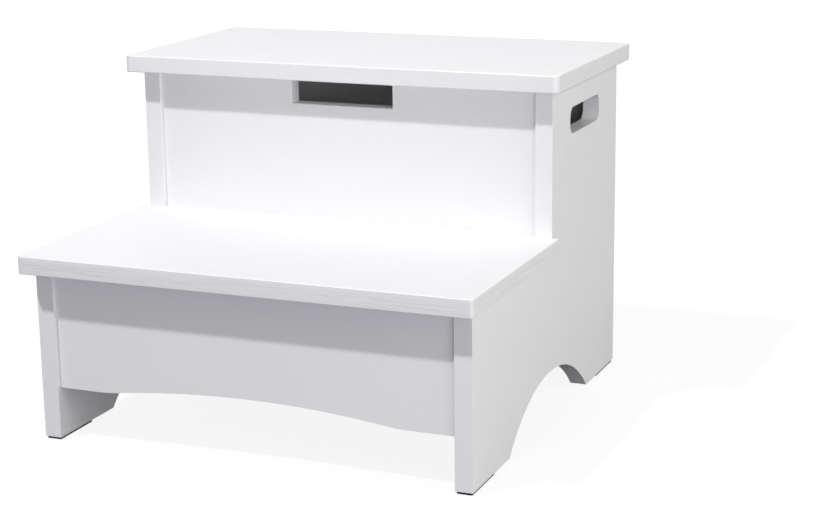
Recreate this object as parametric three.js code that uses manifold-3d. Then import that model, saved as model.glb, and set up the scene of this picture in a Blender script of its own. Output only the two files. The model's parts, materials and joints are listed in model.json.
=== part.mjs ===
// A two-step wooden step stool with a storage box under a hinged top step.
// Millimetres. X runs across the steps, Y from the front to the back, Z up.
// The origin is on the floor, below the middle of the whole stool.
//
// It is a carcass of 15 mm painted board: two stepped side panels, two risers and a back panel joined
// with dowels, a lower tread and a box floor screwed to cleats, and a lid on two butt hinges. Fingers
// lift the lid through the notch in the upper riser.

import * as THREE from "three";
import { mergeVertices } from "three/addons/utils/BufferGeometryUtils.js";
import Module from "manifold-3d";

const wasm = await Module();
wasm.setup();

// ---------------------------------------------------------------- driving dimensions

const BOARD = 15; // thickness of every painted board
const HEIGHT = 300; // floor to the top of the lid
const DEPTH = 400; // front of the lower tread to the back of the lid
const STEP_HEIGHT = 161; // floor to the top of the lower tread
const BODY_WIDTH = 384; // over the outer faces of the side panels
const LID_WIDTH = 404;
const LID_DEPTH = 211;
const TREAD_WIDTH = 397;
const FRONT_OVERHANG = 16.5; // of the lid and of the lower tread, past the side panels
const BACK_OVERHANG = 10; // of the lid
const SETBACK = 3; // risers, behind the front edges of the side panels
const BACK_SETBACK = 2.5; // back panel, inside the rear edges of the side panels
const PAD_HEIGHT = 2;
const LID_GAP = 1.5; // between the lid and the carcass, filled by hinge leaves and bumpers
const CLEAT = 15; // section of the square cleats
const FLOOR_BOARD = 9;
const FLOOR_TOP = 93; // height of the box floor

// Planes that several pieces share.
const FRONT = -DEPTH / 2;
const BACK = DEPTH / 2;
const LID_UNDER = HEIGHT - BOARD;
const CARCASS_TOP = LID_UNDER - LID_GAP;
const STEP_UNDER = STEP_HEIGHT - BOARD;
const OUTER_X = BODY_WIDTH / 2;
const INNER_X = OUTER_X - BOARD;
const PANEL_FRONT = FRONT + FRONT_OVERHANG;
const PANEL_BACK = BACK - BACK_OVERHANG;
const PANEL_MIDDLE = (PANEL_FRONT + PANEL_BACK) / 2;
const STEP_EDGE = BACK - LID_DEPTH + FRONT_OVERHANG; // front edge of the tall half of the side panels
const LOWER_RISER_FACE = PANEL_FRONT + SETBACK;
const UPPER_RISER_FACE = STEP_EDGE + SETBACK;
const BACK_FACE = PANEL_BACK - BACK_SETBACK;
const BOX_FRONT = UPPER_RISER_FACE + BOARD;
const BOX_BACK = BACK_FACE - BOARD;
const FLOOR_UNDER = FLOOR_TOP - FLOOR_BOARD;

// ---------------------------------------------------------------- materials

const paint = new THREE.MeshStandardMaterial({ color: 0xf1f1f3, roughness: 0.32, metalness: 0 });
const pine = new THREE.MeshStandardMaterial({ color: 0xd9bd8c, roughness: 0.7, metalness: 0 });
const steel = new THREE.MeshStandardMaterial({ color: 0xb9babd, roughness: 0.35, metalness: 1 });
const zinc = new THREE.MeshStandardMaterial({ color: 0xa3a5a8, roughness: 0.5, metalness: 1 });
const rubber = new THREE.MeshStandardMaterial({ color: 0x26262a, roughness: 0.85, metalness: 0 });
const silicone = new THREE.MeshStandardMaterial({ color: 0xe4e6e6, roughness: 0.4, metalness: 0 });

// ---------------------------------------------------------------- solids and meshes

function solidOf(geometry) {
  const bare = geometry.clone();
  for (const name of ["normal", "uv"]) {
    bare.deleteAttribute(name);
  }
  const merged = mergeVertices(bare, 1e-4);
  const vertProperties = merged.attributes.position.array;
  const triVerts = new Uint32Array(merged.index.array);
  return new wasm.Manifold(new wasm.Mesh({ numProp: 3, vertProperties, triVerts }));
}

function geometryOf(solid) {
  const mesh = solid.getMesh();
  const geometry = new THREE.BufferGeometry();
  geometry.setAttribute("position", new THREE.BufferAttribute(mesh.vertProperties, 3));
  geometry.setIndex(new THREE.BufferAttribute(mesh.triVerts, 1));
  const flat = geometry.toNonIndexed();
  flat.computeVertexNormals();
  return flat;
}

const stool = new THREE.Group();

// Adds a named mesh to a group, from a solid or a geometry.
function add(name, shape, material, position = [0, 0, 0], group = stool) {
  const geometry = shape.isBufferGeometry ? shape : geometryOf(shape);
  const mesh = new THREE.Mesh(geometry, material);
  mesh.name = name;
  mesh.position.set(...position);
  group.add(mesh);
  return mesh;
}

// A solid box between two corners.
function block([x0, y0, z0], [x1, y1, z1]) {
  const box = new THREE.BoxGeometry(x1 - x0, y1 - y0, z1 - z0);
  return solidOf(box.translate((x0 + x1) / 2, (y0 + y1) / 2, (z0 + z1) / 2));
}

// A round bar of the given radius from one point to another, thinning to endRadius if that is given.
function bar(from, to, radius, endRadius = radius, sides = 20) {
  const start = new THREE.Vector3(...from);
  const end = new THREE.Vector3(...to);
  const along = end.clone().sub(start);
  const cylinder = new THREE.CylinderGeometry(endRadius, radius, along.length(), sides);
  const turn = new THREE.Quaternion().setFromUnitVectors(
    new THREE.Vector3(0, 1, 0),
    along.clone().normalize(),
  );
  cylinder.applyQuaternion(turn);
  const middle = start.add(end).multiplyScalar(0.5);
  return solidOf(cylinder.translate(middle.x, middle.y, middle.z));
}

// An outline extruded to a thickness along +Z.
function plate(outline, thickness, curveSegments = 10) {
  return new THREE.ExtrudeGeometry(outline, {
    depth: thickness,
    bevelEnabled: false,
    curveSegments,
  });
}

// Turns an outline drawn as (Y, Z) and extruded into one that stands across X.
function standAcrossX(geometry) {
  return geometry.rotateZ(Math.PI / 2).rotateY(Math.PI / 2);
}

// Turns an outline drawn as (X, Z) and extruded into one that faces the front.
function standAcrossY(geometry) {
  return geometry.rotateX(Math.PI / 2);
}

function roundedRectangle(width, height, radius) {
  const x = width / 2;
  const y = height / 2;
  const shape = new THREE.Shape();
  shape.absarc(x - radius, y - radius, radius, 0, Math.PI / 2, false);
  shape.absarc(-x + radius, y - radius, radius, Math.PI / 2, Math.PI, false);
  shape.absarc(-x + radius, -y + radius, radius, Math.PI, 1.5 * Math.PI, false);
  shape.absarc(x - radius, -y + radius, radius, 1.5 * Math.PI, 2 * Math.PI, false);
  return shape;
}

// ---------------------------------------------------------------- fasteners

const SCREW = { length: 22, shank: 1.6, head: 3.4, headDepth: 2.2 };
const HINGE_SCREW = { length: 11.5, shank: 1.2, head: 2.3, headDepth: 1.2 };
const POINT_LENGTH = 1.6; // of a screw, over the radius of its shank
const RECESS = { halfWidth: 0.22, reach: 0.62, depth: 0.7 }; // over the radius and the depth of the head
const HOLE_CLEARANCE = 0.2; // radial, round every screw
const SINK_CLEARANCE = 0.5; // radial, round every screw head
const HOLE_SPARE = 0.5; // past both ends of every screw
const FASTENER_SIDES = 12;

// Countersunk screw with its head at the origin and its point up +Z, with a cross recess.
function screw({ length, shank, head, headDepth }) {
  const shankEnd = length - shank * POINT_LENGTH;
  const profile = [
    new THREE.Vector2(0, 0),
    new THREE.Vector2(head, 0),
    new THREE.Vector2(shank, headDepth),
    new THREE.Vector2(shank, shankEnd),
    new THREE.Vector2(0, length),
  ];
  const body = solidOf(new THREE.LatheGeometry(profile, FASTENER_SIDES).rotateX(Math.PI / 2));
  const across = head * RECESS.halfWidth;
  const reach = head * RECESS.reach;
  const depth = headDepth * RECESS.depth;
  return body
    .subtract(block([-reach, -across, -1], [reach, across, depth]))
    .subtract(block([-across, -reach, -1], [across, reach, depth]));
}

// The hole for a screw whose head lies at a point and which runs along a unit vector.
function screwHole(point, direction, { length, shank, head, headDepth }) {
  const at = (distance) => point.map((value, i) => value + direction[i] * distance);
  const narrow = shank + HOLE_CLEARANCE;
  const sink = bar(at(-HOLE_SPARE), at(headDepth), head + SINK_CLEARANCE, narrow, FASTENER_SIDES);
  return sink.add(bar(at(0), at(length + HOLE_SPARE), narrow, narrow, FASTENER_SIDES));
}

// Dowels join the ends of the boards that stand across the stool to the side panels.
const DOWEL = { radius: 4, length: 30, chamfer: 1, inPanel: 9.5 };
const DOWEL_HOLE = { radius: DOWEL.radius + 0.3, spare: 0.5 };
const DOWEL_ROWS = [
  { board: "lower_riser", middle: LOWER_RISER_FACE + BOARD / 2, heights: [75, 120] },
  { board: "upper_riser", middle: UPPER_RISER_FACE + BOARD / 2, heights: [120, 245] },
  { board: "back_panel", middle: BACK_FACE - BOARD / 2, heights: [65, 245] },
];

// Chamfered dowel along +X, from a side panel at its start into the end of a board.
function dowel() {
  const { radius, length, chamfer, inPanel } = DOWEL;
  const profile = [
    new THREE.Vector2(0, -inPanel),
    new THREE.Vector2(radius - chamfer, -inPanel),
    new THREE.Vector2(radius, chamfer - inPanel),
    new THREE.Vector2(radius, length - inPanel - chamfer),
    new THREE.Vector2(radius - chamfer, length - inPanel),
    new THREE.Vector2(0, length - inPanel),
  ];
  return new THREE.LatheGeometry(profile, 24).rotateZ(-Math.PI / 2);
}

// The bores for the dowels of one row on one side, over a reach past the inner face of the panel.
function dowelHoles({ middle, heights }, side, reachOut, reachIn) {
  return heights.map((z) =>
    bar(
      [side * (INNER_X + reachOut), middle, z],
      [side * (INNER_X - reachIn), middle, z],
      DOWEL_HOLE.radius,
    ),
  );
}

// ---------------------------------------------------------------- side panels

const ARCH_HALF_SPAN = 103;
const ARCH_HEIGHT = 43;
const HANDLE = { length: 83, height: 23, radius: 8.5, y: 95, z: 251.5 };

// Stepped outline with two legs and a segmental arch between them, drawn as (Y, Z).
function sidePanelOutline() {
  const radius = (ARCH_HALF_SPAN ** 2 + ARCH_HEIGHT ** 2) / (2 * ARCH_HEIGHT);
  const centre = PAD_HEIGHT + ARCH_HEIGHT - radius;
  const reach = Math.asin(ARCH_HALF_SPAN / radius);
  const outline = new THREE.Shape();
  outline.moveTo(PANEL_FRONT, PAD_HEIGHT);
  outline.lineTo(PANEL_MIDDLE - ARCH_HALF_SPAN, PAD_HEIGHT);
  outline.absarc(PANEL_MIDDLE, centre, radius, Math.PI / 2 + reach, Math.PI / 2 - reach, true);
  outline.lineTo(PANEL_BACK, PAD_HEIGHT);
  outline.lineTo(PANEL_BACK, CARCASS_TOP);
  outline.lineTo(STEP_EDGE, CARCASS_TOP);
  outline.lineTo(STEP_EDGE, STEP_UNDER);
  outline.lineTo(PANEL_FRONT, STEP_UNDER);
  outline.closePath();
  return outline;
}

function handleHole() {
  const { length, height, radius, y, z } = HANDLE;
  const points = roundedRectangle(length, height, radius).getPoints(6).reverse();
  return new THREE.Path(points.map((point) => new THREE.Vector2(point.x + y, point.y + z)));
}

function addSidePanels() {
  const outline = sidePanelOutline();
  outline.holes.push(handleHole());
  for (const [name, side] of [["left", -1], ["right", 1]]) {
    let panel = solidOf(standAcrossX(plate(outline, BOARD, 28)));
    panel = panel.translate(side < 0 ? -OUTER_X : INNER_X, 0, 0);
    for (const row of DOWEL_ROWS) {
      for (const hole of dowelHoles(row, side, DOWEL.inPanel + DOWEL_HOLE.spare, 1)) {
        panel = panel.subtract(hole);
      }
    }
    add(`side_panel_${name}`, panel, paint);
  }
}

// ---------------------------------------------------------------- risers and back panel

const SKIRT_BOTTOM = 45.5; // straight ends of the arched lower edges
const SKIRT_RISE = 9.2;
const SKIRT_HALF_SPAN = 129; // to where the arch would meet the straight ends
const SKIRT_EASING = 150; // radius that leads the arch into each straight end
const NOTCH_WIDTH = 95;
const NOTCH_DEPTH = 21.5;
const UPPER_RISER_BOTTOM = FLOOR_UNDER - CLEAT;

// A board as wide as the inside of the carcass, with a shallow arch in its lower edge, as (X, Z).
// An easing arc, tangent to the arch and to the straight end, leads from one into the other.
function archedBoard(top) {
  const radius = (SKIRT_HALF_SPAN ** 2 + SKIRT_RISE ** 2) / (2 * SKIRT_RISE);
  const centre = SKIRT_BOTTOM + SKIRT_RISE - radius;
  const easingCentre = SKIRT_BOTTOM + SKIRT_EASING;
  const turn = Math.acos((easingCentre - centre) / (radius + SKIRT_EASING));
  const easingX = (radius + SKIRT_EASING) * Math.sin(turn);
  const up = Math.PI / 2;
  const down = -Math.PI / 2;
  const outline = new THREE.Shape();
  outline.moveTo(-INNER_X, SKIRT_BOTTOM);
  outline.lineTo(-easingX, SKIRT_BOTTOM);
  outline.absarc(-easingX, easingCentre, SKIRT_EASING, down, down + turn, false);
  outline.absarc(0, centre, radius, up + turn, up - turn, true);
  outline.absarc(easingX, easingCentre, SKIRT_EASING, down - turn, down, false);
  outline.lineTo(INNER_X, SKIRT_BOTTOM);
  outline.lineTo(INNER_X, top);
  outline.lineTo(-INNER_X, top);
  outline.closePath();
  return outline;
}

function notchedBoard() {
  const notch = NOTCH_WIDTH / 2;
  const outline = new THREE.Shape();
  outline.moveTo(-INNER_X, UPPER_RISER_BOTTOM);
  outline.lineTo(INNER_X, UPPER_RISER_BOTTOM);
  outline.lineTo(INNER_X, CARCASS_TOP);
  outline.lineTo(notch, CARCASS_TOP);
  outline.lineTo(notch, CARCASS_TOP - NOTCH_DEPTH);
  outline.lineTo(-notch, CARCASS_TOP - NOTCH_DEPTH);
  outline.lineTo(-notch, CARCASS_TOP);
  outline.lineTo(-INNER_X, CARCASS_TOP);
  outline.closePath();
  return outline;
}

function addFrontAndBack() {
  const outlines = {
    lower_riser: [archedBoard(STEP_UNDER), LOWER_RISER_FACE],
    upper_riser: [notchedBoard(), UPPER_RISER_FACE],
    back_panel: [archedBoard(CARCASS_TOP), BOX_BACK],
  };
  const boreDepth = DOWEL.length - DOWEL.inPanel + DOWEL_HOLE.spare;
  for (const row of DOWEL_ROWS) {
    const [outline, frontFace] = outlines[row.board];
    const upright = standAcrossY(plate(outline, BOARD, 24)).translate(0, frontFace + BOARD, 0);
    let board = solidOf(upright);
    for (const side of [-1, 1]) {
      for (const hole of dowelHoles(row, side, 1, boreDepth)) {
        board = board.subtract(hole);
      }
    }
    if (row.board === "back_panel") {
      for (const hole of hingeScrewPlaces().fixed) {
        board = board.subtract(screwHole(hole, [0, -1, 0], HINGE_SCREW));
      }
    }
    add(row.board, board, paint);
  }
}

// ---------------------------------------------------------------- treads

const LID_CORNER = 5; // plan radius of the lid's corners
const TREAD_CORNER = 3;
const LID_EDGE = 1.3; // rounding along the lid's top and bottom edges
const TREAD_EDGE = 0.8;
const EDGE_STEPS = 3;

// A board with a rounded plan outline and rounded top and bottom edges, its underside at Z 0.
function softEdgedBoard(outline, radius) {
  return new THREE.ExtrudeGeometry(outline, {
    depth: BOARD - 2 * radius,
    bevelEnabled: true,
    bevelThickness: radius,
    bevelSize: radius,
    bevelOffset: -radius,
    bevelSegments: EDGE_STEPS,
    curveSegments: 4,
  }).translate(0, 0, radius);
}

function addLid() {
  const middle = BACK - LID_DEPTH / 2;
  const board = softEdgedBoard(roundedRectangle(LID_WIDTH, LID_DEPTH, LID_CORNER), LID_EDGE);
  let lid = solidOf(board.translate(0, middle, LID_UNDER));
  for (const hole of hingeScrewPlaces().lid) {
    lid = lid.subtract(screwHole(hole, [0, 0, 1], HINGE_SCREW));
  }
  add("lid", lid, paint);
}

// The lower tread stops at the tall edges of the side panels, with a tongue that meets the riser.
function addLowerTread() {
  const x = TREAD_WIDTH / 2;
  const outline = new THREE.Shape();
  outline.absarc(-x + TREAD_CORNER, FRONT + TREAD_CORNER, TREAD_CORNER, Math.PI, 1.5 * Math.PI);
  outline.absarc(x - TREAD_CORNER, FRONT + TREAD_CORNER, TREAD_CORNER, 1.5 * Math.PI, 2 * Math.PI);
  outline.lineTo(x, STEP_EDGE);
  outline.lineTo(-x, STEP_EDGE);
  outline.closePath();
  const board = solidOf(softEdgedBoard(outline, TREAD_EDGE).translate(0, 0, STEP_UNDER));
  const tongue = block(
    [-INNER_X, STEP_EDGE - 2 * TREAD_EDGE, STEP_UNDER],
    [INNER_X, UPPER_RISER_FACE, STEP_HEIGHT],
  );
  let tread = board.add(tongue);
  for (const [screwX, screwY] of TREAD_SCREWS) {
    tread = tread.subtract(screwHole([screwX, screwY, STEP_UNDER - CLEAT], [0, 0, 1], SCREW));
  }
  add("lower_tread", tread, paint);
}

// ---------------------------------------------------------------- cleats and box floor

const CLEAT_X = INNER_X - CLEAT / 2;
const TREAD_CLEAT_FRONT = LOWER_RISER_FACE + BOARD;
const SCREW_END_DISTANCE = 30;
const pairs = (front, back) =>
  [-1, 1].flatMap((side) => [
    [side * CLEAT_X, front + SCREW_END_DISTANCE],
    [side * CLEAT_X, back - SCREW_END_DISTANCE],
  ]);
const TREAD_SCREWS = pairs(TREAD_CLEAT_FRONT, UPPER_RISER_FACE);
const FLOOR_SCREWS = pairs(BOX_FRONT, BOX_BACK);
const FLOOR_SCREW = { ...SCREW, length: 20 };
const FLOOR_GAP = 0.5; // at each end of the box floor

function addCleats() {
  const rows = [
    ["tread", TREAD_CLEAT_FRONT, UPPER_RISER_FACE, STEP_UNDER, TREAD_SCREWS, SCREW],
    ["floor", BOX_FRONT, BOX_BACK, FLOOR_UNDER, FLOOR_SCREWS, FLOOR_SCREW],
  ];
  for (const [use, front, back, top, places, size] of rows) {
    for (const [name, side] of [["left", -1], ["right", 1]]) {
      const low = [side < 0 ? -INNER_X : INNER_X - CLEAT, front, top - CLEAT];
      let cleat = block(low, [low[0] + CLEAT, back, top]);
      for (const [x, y] of places.filter((place) => place[0] * side > 0)) {
        cleat = cleat.subtract(screwHole([x, y, top - CLEAT], [0, 0, 1], size));
      }
      add(`${use}_cleat_${name}`, cleat, pine);
    }
    places.forEach(([x, y], i) => {
      add(`${use}_screw_${i + 1}`, screw(size), zinc, [x, y, top - CLEAT]);
    });
  }
}

function addBoxFloor() {
  const side = INNER_X - FLOOR_GAP;
  let floor = block([-side, BOX_FRONT, FLOOR_UNDER], [side, BOX_BACK, FLOOR_TOP]);
  for (const [x, y] of FLOOR_SCREWS) {
    floor = floor.subtract(screwHole([x, y, FLOOR_UNDER - CLEAT], [0, 0, 1], FLOOR_SCREW));
  }
  add("box_floor", floor, paint);
}

// ---------------------------------------------------------------- hinges

const HINGE = {
  x: 128, // middle of each hinge from the middle of the lid
  length: 50,
  knuckles: 5,
  radius: 3,
  bore: 1.7,
  pin: 1.4,
  leaf: 1.2,
  reach: 18,
  screwX: 16,
  screwReach: 10.5,
  knuckleGap: 0.15, // between a knuckle's end and the middle of the gap beside it
  plateGap: 0.4, // between a leaf's plate and the other leaf's knuckles
  headRadius: 2.25,
  headLength: 0.8,
  endGap: 0.4, // between the knuckles and each pin head
};
const LEAF_GAP = 0.1; // between each leaf and the board it is screwed to
const PIN_Y = BACK_FACE + HINGE.radius + LEAF_GAP;
const PIN_Z = LID_UNDER - HINGE.radius - LEAF_GAP;
const LEAF_TOP = LID_UNDER - LEAF_GAP;
const LEAF_BACK = BACK_FACE + LEAF_GAP + HINGE.leaf;

// Screw heads: below the lid leaf pointing up, and behind the fixed leaf pointing forwards.
function hingeScrewPlaces() {
  const places = { lid: [], fixed: [] };
  for (const side of [-1, 1]) {
    for (const end of [-1, 1]) {
      const x = side * HINGE.x + end * HINGE.screwX;
      places.lid.push([x, PIN_Y - HINGE.screwReach, LEAF_TOP - HINGE.leaf]);
      places.fixed.push([x, LEAF_BACK, PIN_Z - HINGE.screwReach]);
    }
  }
  return places;
}

// One leaf of a butt hinge, with its pin along X at the origin and its plate up towards -Y.
// Odd knuckles belong to the leaf when parity is 1, and even ones when it is 0.
function hingeLeaf(parity) {
  const { length, knuckles, radius, bore, leaf, reach, knuckleGap, plateGap } = HINGE;
  const knuckle = length / knuckles;
  const half = length / 2;
  let made = block([-half, -reach, radius - leaf], [half, -radius - plateGap, radius]);
  for (let i = 0; i < knuckles; i += 1) {
    if (i % 2 !== parity) {
      continue;
    }
    const start = -half + i * knuckle + (i === 0 ? 0 : knuckleGap);
    const end = -half + (i + 1) * knuckle - (i === knuckles - 1 ? 0 : knuckleGap);
    made = made.add(bar([start, 0, 0], [end, 0, 0], radius));
    made = made.add(block([start, -radius - 1, radius - leaf], [end, 0, radius]));
  }
  made = made.subtract(bar([-half - 1, 0, 0], [half + 1, 0, 0], bore));
  for (const end of [-1, 1]) {
    const hole = [end * HINGE.screwX, -HINGE.screwReach, radius - leaf];
    made = made.subtract(screwHole(hole, [0, 0, 1], HINGE_SCREW));
  }
  return made;
}

function addHinges() {
  const lidLeaf = hingeLeaf(1);
  const fixedLeaf = hingeLeaf(0);
  for (const [name, side] of [["left", -1], ["right", 1]]) {
    const hinge = new THREE.Group();
    hinge.position.set(side * HINGE.x, PIN_Y, PIN_Z);
    stool.add(hinge);
    add(`hinge_${name}_lid_leaf`, lidLeaf, steel, [0, 0, 0], hinge);
    const fixed = add(`hinge_${name}_fixed_leaf`, fixedLeaf, steel, [0, 0, 0], hinge);
    fixed.rotation.set(Math.PI / 2, 0, 0);
    const end = HINGE.length / 2 + HINGE.endGap;
    const tip = end + HINGE.headLength;
    const pin = bar([-tip, 0, 0], [tip, 0, 0], HINGE.pin)
      .add(bar([-tip, 0, 0], [-end, 0, 0], HINGE.headRadius))
      .add(bar([end, 0, 0], [tip, 0, 0], HINGE.headRadius));
    add(`hinge_${name}_pin`, pin, steel, [0, 0, 0], hinge);
  }
  const places = hingeScrewPlaces();
  places.lid.forEach((place, i) => {
    add(`hinge_lid_screw_${i + 1}`, screw(HINGE_SCREW), zinc, place);
  });
  places.fixed.forEach((place, i) => {
    const mesh = add(`hinge_back_screw_${i + 1}`, screw(HINGE_SCREW), zinc, place);
    mesh.rotation.set(Math.PI / 2, 0, 0);
  });
}

// ---------------------------------------------------------------- dowels, pads and bumpers

function addDowels() {
  for (const { board, middle, heights } of DOWEL_ROWS) {
    heights.forEach((z, i) => {
      const end = i === 0 ? "low" : "high";
      for (const [name, side] of [["left", -1], ["right", 1]]) {
        const turned = dowel().rotateZ(side > 0 ? Math.PI : 0);
        add(`${board}_dowel_${name}_${end}`, turned, pine, [side * INNER_X, middle, z]);
      }
    });
  }
}

const PAD = { length: 50, width: 13.4, inset: 0.8, corner: 1.5 };

function addFootPads() {
  const places = [
    ["front", PANEL_FRONT + PAD.inset],
    ["back", PANEL_BACK - PAD.inset - PAD.length],
  ];
  for (const [end, y] of places) {
    for (const [name, side] of [["left", -1], ["right", 1]]) {
      const pad = plate(roundedRectangle(PAD.width, PAD.length, PAD.corner), PAD_HEIGHT, 4);
      const x = side * (OUTER_X - BOARD / 2);
      add(`foot_pad_${end}_${name}`, pad, rubber, [x, y + PAD.length / 2, 0]);
    }
  }
}

const BUMPER = { radius: 4, height: 1.4, y: STEP_EDGE + 12 };

function addBumpers() {
  const { radius, height } = BUMPER;
  const profile = [
    new THREE.Vector2(0, 0),
    new THREE.Vector2(radius, 0),
    new THREE.Vector2(radius, height * 0.55),
    new THREE.Vector2(radius * 0.8, height * 0.9),
    new THREE.Vector2(radius * 0.45, height),
    new THREE.Vector2(0, height),
  ];
  for (const [name, side] of [["left", -1], ["right", 1]]) {
    const dome = new THREE.LatheGeometry(profile, 20).rotateX(Math.PI / 2);
    const x = side * (OUTER_X - BOARD / 2);
    add(`lid_bumper_${name}`, dome, silicone, [x, BUMPER.y, CARCASS_TOP]);
  }
}

// ---------------------------------------------------------------- the stool

addSidePanels();
addFrontAndBack();
addLid();
addLowerTread();
addCleats();
addBoxFloor();
addHinges();
addDowels();
addFootPads();
addBumpers();

export default stool;
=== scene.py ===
"""Looks for the two-step storage stool: eased edges, painted board, bare timber, metal and rubber.

Metres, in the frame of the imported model: X across the steps, Y from front to back, Z up.
"""

import json
import math

import bmesh
import bpy
from mathutils import Matrix, Vector


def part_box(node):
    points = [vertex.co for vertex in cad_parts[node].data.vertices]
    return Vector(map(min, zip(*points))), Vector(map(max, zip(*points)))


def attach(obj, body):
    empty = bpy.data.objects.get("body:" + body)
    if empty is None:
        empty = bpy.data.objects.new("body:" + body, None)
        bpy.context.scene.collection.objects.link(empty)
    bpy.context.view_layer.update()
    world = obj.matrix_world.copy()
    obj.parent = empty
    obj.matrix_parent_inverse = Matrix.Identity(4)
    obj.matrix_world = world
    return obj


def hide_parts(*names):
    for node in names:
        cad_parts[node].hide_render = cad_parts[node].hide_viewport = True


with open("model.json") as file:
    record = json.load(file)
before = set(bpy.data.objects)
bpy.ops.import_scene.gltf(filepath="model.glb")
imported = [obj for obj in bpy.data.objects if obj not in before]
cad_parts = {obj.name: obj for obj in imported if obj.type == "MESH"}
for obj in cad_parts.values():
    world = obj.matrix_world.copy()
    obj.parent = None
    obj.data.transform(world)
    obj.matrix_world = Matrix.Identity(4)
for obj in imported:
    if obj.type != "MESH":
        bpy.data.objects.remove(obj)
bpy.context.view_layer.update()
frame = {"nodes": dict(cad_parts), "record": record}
NODES = frame["nodes"]
BODY_OF = {
    node: body
    for body, nodes in frame["record"]["behaviour"]["bodies"].items()
    for node in nodes
}
MM = 0.001
WHITE = (1.0, 1.0, 1.0, 1.0)


# ---------------------------------------------------------------- shader helpers


class Shader:
    """A material with a Principled surface, and short calls for the nodes that feed it."""

    def __init__(self, name, colour, roughness, metallic=0.0):
        self.material = bpy.data.materials.new(name)
        self.material.use_nodes = True
        self.material.diffuse_color = (*colour, 1.0)
        self.tree = self.material.node_tree
        self.surface = self.tree.nodes["Principled BSDF"]
        self.surface.inputs["Base Color"].default_value = (*colour, 1.0)
        self.surface.inputs["Roughness"].default_value = roughness
        self.surface.inputs["Metallic"].default_value = metallic
        self.place = self.tree.nodes.new("ShaderNodeTexCoord").outputs["Object"]

    def node(self, kind, **settings):
        made = self.tree.nodes.new(kind)
        for key, value in settings.items():
            setattr(made, key, value)
        return made

    def join(self, source, target):
        """Feeds a socket from another one, or sets it to a plain value."""
        if isinstance(source, bpy.types.NodeSocket):
            self.tree.links.new(source, target)
        else:
            target.default_value = source

    def stretched(self, factors):
        """The object's own coordinates, scaled by a factor along each axis."""
        scale = self.node("ShaderNodeVectorMath", operation="MULTIPLY")
        self.join(self.place, scale.inputs[0])
        scale.inputs[1].default_value = factors
        return scale.outputs["Vector"]

    def noise(self, size, detail=3.0, roughness=0.5, factors=(1.0, 1.0, 1.0)):
        """Noise from 0 to 1 with features of about the given size in metres."""
        made = self.node("ShaderNodeTexNoise")
        self.join(self.stretched(factors), made.inputs["Vector"])
        made.inputs["Scale"].default_value = 1.0 / size
        made.inputs["Detail"].default_value = detail
        made.inputs["Roughness"].default_value = roughness
        return made.outputs["Fac"]

    def spread(self, value, low, high, to_low=0.0, to_high=1.0):
        """Maps low..high to to_low..to_high, clamped."""
        made = self.node("ShaderNodeMapRange")
        self.join(value, made.inputs["Value"])
        made.inputs["From Min"].default_value = low
        made.inputs["From Max"].default_value = high
        made.inputs["To Min"].default_value = to_low
        made.inputs["To Max"].default_value = to_high
        return made.outputs["Result"]

    def math(self, operation, a, b=0.0):
        made = self.node("ShaderNodeMath", operation=operation)
        self.join(a, made.inputs[0])
        self.join(b, made.inputs[1])
        return made.outputs["Value"]

    def blend(self, amount, a, b):
        """Mixes two colours, each a socket or a triple."""
        made = self.node("ShaderNodeMix", data_type="RGBA")
        self.join(amount, made.inputs["Factor"])
        for colour, socket in ((a, made.inputs["A"]), (b, made.inputs["B"])):
            self.join((*colour, 1.0) if isinstance(colour, tuple) else colour, socket)
        return made.outputs["Result"]

    def attribute(self, name):
        return self.node("ShaderNodeAttribute", attribute_name=name).outputs["Fac"]

    def bumps(self, *layers):
        """Feeds the surface's normal from layers of (height from 0 to 1, depth in metres)."""
        normal = None
        for height, depth in layers:
            made = self.node("ShaderNodeBump")
            made.inputs["Distance"].default_value = depth
            self.join(height, made.inputs["Height"])
            if normal is not None:
                self.join(normal, made.inputs["Normal"])
            normal = made.outputs["Normal"]
        self.join(normal, self.surface.inputs["Normal"])

    def feeds(self, colour=None, roughness=None):
        if colour is not None:
            self.join(colour, self.surface.inputs["Base Color"])
        if roughness is not None:
            self.join(roughness, self.surface.inputs["Roughness"])


# ---------------------------------------------------------------- materials

PAINT = (0.86, 0.86, 0.865)
PAINT_WARM = (0.80, 0.785, 0.76)
PRIMER = (0.70, 0.655, 0.59)
STREAK = (0.60, 0.575, 0.60)
SPECKS_PER_METRE = 90.0
STREAKS_ABOVE_UNDERSIDE = 1.5 * MM
STREAKS_BELOW_TOP = 2.0 * MM
STREAK_FADE = 1.0 * MM


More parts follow.
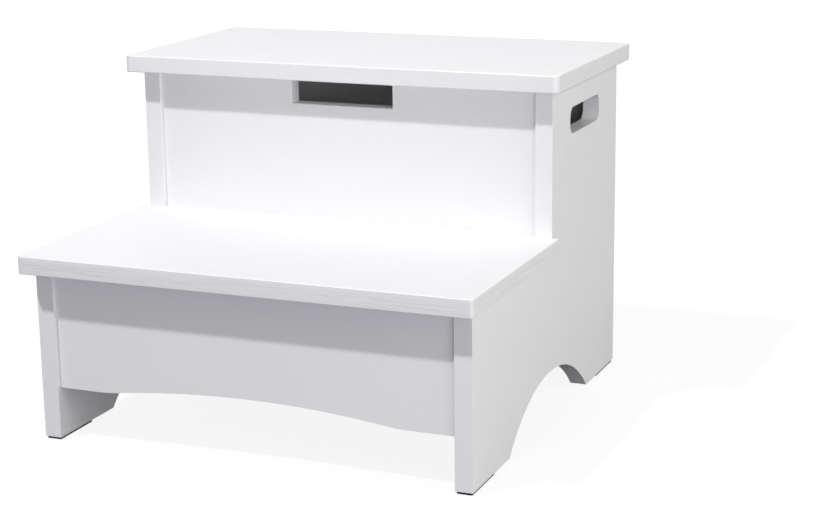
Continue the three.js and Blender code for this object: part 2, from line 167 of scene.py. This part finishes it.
def lacquer(name, streaked=None):
    """Sprayed satin lacquer: faint orange peel, slow drifts of tone and gloss, thin on the arrises.

    streaked is (underside, top) of a board whose sawn edges show fine lines through the paint.
    """
    s = Shader(name, PAINT, 0.34)
    drift = s.noise(110 * MM, detail=2.0)
    mottle = s.noise(6 * MM, detail=4.0, roughness=0.6)
    tone = s.blend(s.spread(drift, 0.35, 0.65, 0.0, 0.05), PAINT, PAINT_WARM)
    tone = s.blend(s.spread(mottle, 0.45, 0.75, 0.0, 0.05), tone, PAINT_WARM)
    specks = s.node("ShaderNodeTexVoronoi", feature="F1")
    s.join(s.place, specks.inputs["Vector"])
    specks.inputs["Scale"].default_value = SPECKS_PER_METRE
    nib = s.spread(specks.outputs["Distance"], 0.035, 0.06, 1.0, 0.0)
    tone = s.blend(s.math("MULTIPLY", nib, 0.12), tone, PRIMER)
    chips = s.spread(s.noise(4 * MM, detail=5.0, roughness=0.65), 0.52, 0.66)
    thin = s.math("MULTIPLY", s.attribute("arris"), s.spread(chips, 0.0, 1.0, 0.06, 0.42))
    tone = s.blend(thin, tone, PRIMER)
    waves = (s.noise(60 * MM, detail=1.0), 0.05 * MM)
    orange_peel = (s.noise(2.4 * MM, detail=2.0, roughness=0.4), 0.012 * MM)
    grain = (s.noise(0.7 * MM, detail=2.0), 0.003 * MM)
    layers = [waves, orange_peel, grain]
    if streaked:
        height, lines = edge_streaks(s, *streaked)
        tone = s.blend(s.math("MULTIPLY", lines, 0.45), tone, STREAK)
        layers.append((height, 0.12 * MM))
    s.bumps(*layers)
    gloss = s.spread(s.noise(30 * MM, detail=4.0, roughness=0.6), 0.3, 0.7, 0.30, 0.40)
    s.feeds(tone, s.math("ADD", gloss, s.math("MULTIPLY", mottle, 0.04)))
    return s.material


def edge_streaks(s, underside, top):
    """Fine lines along a board's edge faces: (height, darkness), both nothing on the flat faces."""
    long_noise = s.noise(1.1 * MM, detail=2.0, roughness=0.7, factors=(0.012, 0.012, 1.0))
    fine_noise = s.noise(0.45 * MM, detail=1.0, factors=(0.02, 0.02, 1.0))
    lines = s.math("ADD", s.math("MULTIPLY", long_noise, 0.7), s.math("MULTIPLY", fine_noise, 0.3))
    axes = s.node("ShaderNodeSeparateXYZ")
    s.join(s.place, axes.inputs["Vector"])
    z = axes.outputs["Z"]
    low = underside + STREAKS_ABOVE_UNDERSIDE
    high = top - STREAKS_BELOW_TOP
    above = s.spread(z, low, low + STREAK_FADE)
    below = s.spread(z, high - STREAK_FADE, high, 1.0, 0.0)
    inside = s.math("MULTIPLY", above, below)
    dark = s.math("MULTIPLY", s.spread(lines, 0.50, 0.62), inside)
    return s.math("MULTIPLY", lines, inside), dark


def bare_board():
    """Unpainted fibreboard: brown, felted, with short pale and dark fibres."""
    s = Shader("bare_board", (0.40, 0.27, 0.165), 0.82)
    fibres = s.noise(1.6 * MM, detail=5.0, roughness=0.7, factors=(1.0, 0.45, 1.0))
    clumps = s.noise(20 * MM, detail=3.0)
    tone = s.blend(s.spread(fibres, 0.35, 0.68), (0.30, 0.19, 0.11), (0.50, 0.36, 0.23))
    tone = s.blend(s.spread(clumps, 0.4, 0.7, 0.0, 0.25), tone, (0.33, 0.215, 0.125))
    s.bumps((clumps, 0.2 * MM), (fibres, 0.06 * MM))
    s.feeds(tone, s.spread(fibres, 0.3, 0.7, 0.75, 0.92))
    return s.material


def timber(name, pale, dark, along, ring=4.2 * MM):
    """Planed timber with its growth lines running along one axis, and pores in them."""
    s = Shader(name, pale, 0.62)
    squeeze = [1.0, 1.0, 1.0]
    squeeze[along] = 0.06
    wander = s.noise(12 * MM, detail=2.0, factors=tuple(squeeze))
    grain = s.noise(ring, detail=3.0, roughness=0.55, factors=tuple(squeeze))
    squeeze[along] = 0.02
    pores = s.noise(0.6 * MM, detail=2.0, factors=tuple(squeeze))
    rings = s.spread(s.math("ADD", grain, s.math("MULTIPLY", wander, 0.35)), 0.52, 0.82)
    tone = s.blend(rings, pale, dark)
    tone = s.blend(s.spread(pores, 0.6, 0.72, 0.0, 0.35), tone, tuple(0.55 * c for c in dark))
    s.bumps((rings, 0.08 * MM), (pores, 0.05 * MM))
    s.feeds(tone, s.spread(rings, 0.0, 1.0, 0.68, 0.52))
    return s.material


def brushed_metal(name, colour, roughness, along=None, blotch=6 * MM):
    """Plated steel with fine scratches, along one axis if it was brushed, and duller blotches."""
    s = Shader(name, colour, roughness, metallic=1.0)
    factors = [1.0, 1.0, 1.0]
    if along is not None:
        factors[along] = 0.03
    scratches = s.noise(0.35 * MM, detail=3.0, roughness=0.7, factors=tuple(factors))
    patches = s.noise(blotch, detail=3.0, roughness=0.6)
    dull = tuple(0.72 * c for c in colour)
    tone = s.blend(s.spread(patches, 0.4, 0.7, 0.0, 0.45), colour, dull)
    tone = s.blend(s.math("MULTIPLY", s.spread(scratches, 0.55, 0.75), 0.25), tone, dull)
    s.bumps((scratches, 0.01 * MM))
    s.feeds(tone, s.spread(patches, 0.3, 0.7, roughness - 0.07, roughness + 0.1))
    return s.material


def rubber(name, colour, roughness, clear=0.0):
    """Moulded rubber: fine pitting and a slightly uneven tone, milky if clear is above 0."""
    s = Shader(name, colour, roughness)
    pits = s.noise(0.5 * MM, detail=3.0, roughness=0.6)
    drift = s.noise(8 * MM, detail=2.0)
    darker = tuple(0.8 * c for c in colour)
    lighter = tuple(1.15 * c for c in colour)
    tone = s.blend(s.spread(drift, 0.3, 0.7), darker, lighter)
    s.bumps((pits, 0.03 * MM))
    s.feeds(tone, s.spread(pits, 0.3, 0.7, roughness - 0.06, roughness + 0.06))
    s.surface.inputs["Transmission Weight"].default_value = clear
    return s.material


TREAD_UNDERSIDE, TREAD_TOP = (corner.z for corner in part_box("lower_tread"))
X_AXIS, Y_AXIS = 0, 1

MATERIALS = {  # by the material slots of the record
    "white_lacquer": lacquer("white_lacquer"),
    "bare_board": bare_board(),
    "pine": timber("pine", (0.68, 0.47, 0.26), (0.46, 0.26, 0.11), Y_AXIS),
    "beech": timber("beech", (0.60, 0.42, 0.26), (0.44, 0.27, 0.15), X_AXIS, ring=2 * MM),
    "zinc_screw": brushed_metal("zinc_screw", (0.50, 0.51, 0.52), 0.38, blotch=2 * MM),
    "hinge_steel": brushed_metal("hinge_steel", (0.62, 0.61, 0.59), 0.30, along=X_AXIS),
    "hinge_screw": brushed_metal("hinge_screw", (0.60, 0.59, 0.57), 0.28, blotch=1.5 * MM),
    "pad_rubber": rubber("pad_rubber", (0.022, 0.022, 0.025), 0.8),
    "bumper_rubber": rubber("bumper_rubber", (0.72, 0.74, 0.74), 0.35, clear=0.35),
}
STREAKED = lacquer("white_lacquer_sawn_edge", (TREAD_UNDERSIDE, TREAD_TOP))

# ---------------------------------------------------------------- pieces

SLOT_OF = {entry["node"]: entry["material_slot"] for entry in frame["record"]["subparts"]}
ARRIS = {  # radius of the eased edges, by finish
    "white_lacquer": 0.9 * MM,
    "bare_board": 0.4 * MM,
    "pine": 0.8 * MM,
    "pad_rubber": 0.3 * MM,
}
SAME_PLACE = 0.01 * MM  # corners closer than this are one corner
SAME_FACE = math.radians(0.4)  # facets that turn by less than this are one face
SHARP = math.radians(35)
GLUED_ENDS = {"lower_riser", "upper_riser", "back_panel"}  # boards that meet the side panels end on


def at_an_end(edge, reach):
    """Whether an edge lies in the plane of either end of a board that reaches this far across X."""
    return all(abs(abs(corner.co.x) - reach) < SAME_PLACE for corner in edge.verts)


def sharp_edges(work, glued_ends):
    """The edges to round: all the sharp ones, but none round the ends if those are glued."""
    edges = [e for e in work.edges if e.is_manifold and e.calc_face_angle() > SHARP]
    if not glued_ends:
        return edges
    reach = max(corner.co.x for corner in work.verts)
    return [e for e in edges if not at_an_end(e, reach)]


def eased_mesh(name, radius):
    """A CAD node's mesh with its facets merged into whole faces and its sharp edges rounded.

    The ends of boards that are glued to the side panels stay square, so that no groove shows there.
    The faces on the rounded edges are marked in the "arris" layer.
    """
    work = bmesh.new()
    work.from_mesh(NODES[name].data)
    bmesh.ops.remove_doubles(work, verts=work.verts, dist=SAME_PLACE)
    bmesh.ops.dissolve_limit(work, angle_limit=SAME_FACE, verts=work.verts, edges=work.edges)
    arris = work.faces.layers.float.new("arris")
    if radius:
        made = bmesh.ops.bevel(
            work,
            geom=sharp_edges(work, name in GLUED_ENDS),
            offset=radius,
            segments=3,
            profile=0.5,
            affect="EDGES",
            clamp_overlap=True,
        )
        for face in made["faces"]:
            face[arris] = 1.0
    for face in work.faces:
        face.smooth = True
    for edge in work.edges:
        edge.smooth = edge.is_manifold and edge.calc_face_angle() < SHARP
    mesh = bpy.data.meshes.new(f"{name}_skin")
    work.to_mesh(mesh)
    work.free()
    return mesh


def add_skin(name):
    """Stands an eased and finished piece in for a CAD node, on the same body."""
    slot = SLOT_OF[name]
    mesh = eased_mesh(name, ARRIS.get(slot, 0.0))
    mesh.materials.append(STREAKED if name == "lower_tread" else MATERIALS[slot])
    piece = bpy.data.objects.new(f"{name}_skin", mesh)
    bpy.context.scene.collection.objects.link(piece)
    weights = piece.modifiers.new("even_shading", "WEIGHTED_NORMAL")
    weights.keep_sharp = True
    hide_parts(name)
    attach(piece, BODY_OF[name])


for node_name in sorted(NODES):
    add_skin(node_name)

# ---------------------------------------------------------------- studio

FLOOR_SIZE = 16.0
FLOOR_DROP = 0.2 * MM  # below the feet, so that the floor and the pads never share a plane
FLOOR_GLOW = 0.893  # its brightness near the stool, before light and shadow
GLOW_START, GLOW_END = 1.3, 2.4  # distances between which that rises to plain white
FLOOR_GREY = 0.122  # takes the shadows that are seen
FLOOR_BOUNCE = (0.22, 0.225, 0.24, 1.0)  # throws light back up at the stool
SKY = (0.95, 0.935, 1.0, 1.0)
SKY_STRENGTH = 0.28


def chosen(tree, test, if_not, if_so):
    """A node that gives one shader where the test socket is 0 and another where it is 1."""
    choice = tree.nodes.new("ShaderNodeMixShader")
    tree.links.new(test, choice.inputs["Fac"])
    tree.links.new(if_not.outputs[0], choice.inputs[1])
    tree.links.new(if_so.outputs[0], choice.inputs[2])
    return choice


def floor_glow(tree):
    """Light given off by the floor, evenly near the stool and up to plain white further out."""
    place = tree.nodes.new("ShaderNodeTexCoord")
    distance = tree.nodes.new("ShaderNodeVectorMath")
    distance.operation = "LENGTH"
    brightness = tree.nodes.new("ShaderNodeMapRange")
    brightness.inputs["From Min"].default_value = GLOW_START
    brightness.inputs["From Max"].default_value = GLOW_END
    brightness.inputs["To Min"].default_value = FLOOR_GLOW
    brightness.inputs["To Max"].default_value = 1.0
    glow = tree.nodes.new("ShaderNodeEmission")
    glow.inputs["Color"].default_value = WHITE
    tree.links.new(place.outputs["Object"], distance.inputs[0])
    tree.links.new(distance.outputs["Value"], brightness.inputs["Value"])
    tree.links.new(brightness.outputs["Result"], glow.inputs["Strength"])
    return glow


def floor_material():
    """White to the camera with soft shadows, grey to the light that it throws back, clear from below."""
    material = bpy.data.materials.new("studio_floor")
    material.use_nodes = True
    tree = material.node_tree
    tree.nodes.clear()
    shade = tree.nodes.new("ShaderNodeBsdfDiffuse")
    shade.inputs["Color"].default_value = (FLOOR_GREY, FLOOR_GREY, FLOOR_GREY, 1.0)
    seen = tree.nodes.new("ShaderNodeAddShader")
    tree.links.new(floor_glow(tree).outputs[0], seen.inputs[0])
    tree.links.new(shade.outputs[0], seen.inputs[1])
    bounce = tree.nodes.new("ShaderNodeBsdfDiffuse")
    bounce.inputs["Color"].default_value = FLOOR_BOUNCE
    path = tree.nodes.new("ShaderNodeLightPath")
    upper = chosen(tree, path.outputs["Is Camera Ray"], bounce, seen)
    side = tree.nodes.new("ShaderNodeNewGeometry")
    clear = tree.nodes.new("ShaderNodeBsdfTransparent")
    both_sides = chosen(tree, side.outputs["Backfacing"], upper, clear)
    output = tree.nodes.new("ShaderNodeOutputMaterial")
    tree.links.new(both_sides.outputs[0], output.inputs["Surface"])
    return material


def floor():
    mesh = bpy.data.meshes.new("studio_floor")
    work = bmesh.new()
    bmesh.ops.create_grid(work, x_segments=8, y_segments=8, size=FLOOR_SIZE / 2)
    work.to_mesh(mesh)
    work.free()
    mesh.materials.append(floor_material())
    plane = bpy.data.objects.new("studio_floor", mesh)
    plane.location.z = -FLOOR_DROP
    bpy.context.scene.collection.objects.link(plane)


def surroundings():
    """Even light from all round, with plain white behind the object."""
    world = bpy.data.worlds.new("studio")
    bpy.context.scene.world = world
    world.use_nodes = True
    tree = world.node_tree
    tree.nodes.clear()
    light = tree.nodes.new("ShaderNodeBackground")
    light.inputs["Color"].default_value = SKY
    light.inputs["Strength"].default_value = SKY_STRENGTH
    backdrop = tree.nodes.new("ShaderNodeBackground")
    backdrop.inputs["Color"].default_value = WHITE
    path = tree.nodes.new("ShaderNodeLightPath")
    choice = chosen(tree, path.outputs["Is Camera Ray"], light, backdrop)
    output = tree.nodes.new("ShaderNodeOutputWorld")
    tree.links.new(choice.outputs[0], output.inputs["Surface"])


def aimed(light, place, target):
    """Puts a light at a place, shining towards a target, and returns it."""
    lamp = bpy.data.objects.new(light.name, light)
    lamp.location = place
    lamp.rotation_mode = "QUATERNION"
    lamp.rotation_quaternion = (Vector(target) - Vector(place)).to_track_quat("-Z", "Y")
    bpy.context.scene.collection.objects.link(lamp)
    return lamp


AIM = (0.0, 0.0, 0.15)  # the middle of the stool
LIGHTS = {  # name: (place, width and height, watts, colour)
    "key": ((-1.035, -1.625, 3.21), (0.14, 0.14), 89.0, (0.98, 0.99, 1.0)),
    "right": ((2.6, -0.3, 1.1), (2.2, 1.8), 40.0, (1.0, 0.977, 0.92)),
    "low_right": ((1.75, -1.9, 0.35), (1.8, 0.7), 17.5, (0.94, 0.93, 1.0)),
    "back": ((-1.3, 2.8, 1.7), (2.0, 1.4), 11.4, (1.0, 0.976, 0.972)),
    "low_back": ((-1.7, 2.3, 0.4), (1.6, 0.9), 26.0, (0.97, 0.98, 1.0)),
}
MATT = {"low_back"}  # lights that leave no highlight


def softboxes():
    """Plain rectangular lights, all aimed at the middle of the stool."""
    for name, (place, size, power, colour) in LIGHTS.items():
        box = bpy.data.lights.new(name, "AREA")
        box.shape = "RECTANGLE"
        box.size, box.size_y = size
        box.energy = power
        box.color = colour
        lamp = aimed(box, place, AIM)
        lamp.visible_glossy = name not in MATT


CAMERA_PLACE = Vector((0.6766, -1.4636, 0.5333))
CAMERA_YAW, CAMERA_PITCH, CAMERA_ROLL = (math.radians(a) for a in (22.535, 14.104, 0.722))
CAMERA_LENS = 82.57
SENSOR_WIDTH = 36.0
NEAREST, FURTHEST = 0.05, 50.0


def camera():
    """Looks down at the stool from its front right, a little rolled."""
    ahead = Vector(
        (
            -math.sin(CAMERA_YAW) * math.cos(CAMERA_PITCH),
            math.cos(CAMERA_YAW) * math.cos(CAMERA_PITCH),
            -math.sin(CAMERA_PITCH),
        )
    )
    level = Vector((math.cos(CAMERA_YAW), math.sin(CAMERA_YAW), 0.0))
    below = ahead.cross(level)
    right = math.cos(CAMERA_ROLL) * level + math.sin(CAMERA_ROLL) * below
    down = math.cos(CAMERA_ROLL) * below - math.sin(CAMERA_ROLL) * level
    turn = Matrix((right, -down, -ahead)).transposed()
    data = bpy.data.cameras.new("camera")
    data.sensor_width = SENSOR_WIDTH
    data.lens = CAMERA_LENS
    data.clip_start = NEAREST
    data.clip_end = FURTHEST
    eye = bpy.data.objects.new("camera", data)
    eye.matrix_world = Matrix.Translation(CAMERA_PLACE) @ turn.to_4x4()
    bpy.context.scene.collection.objects.link(eye)
    bpy.context.scene.camera = eye


bpy.context.scene.view_settings.view_transform = "Standard"
floor()
surroundings()
softboxes()
camera()
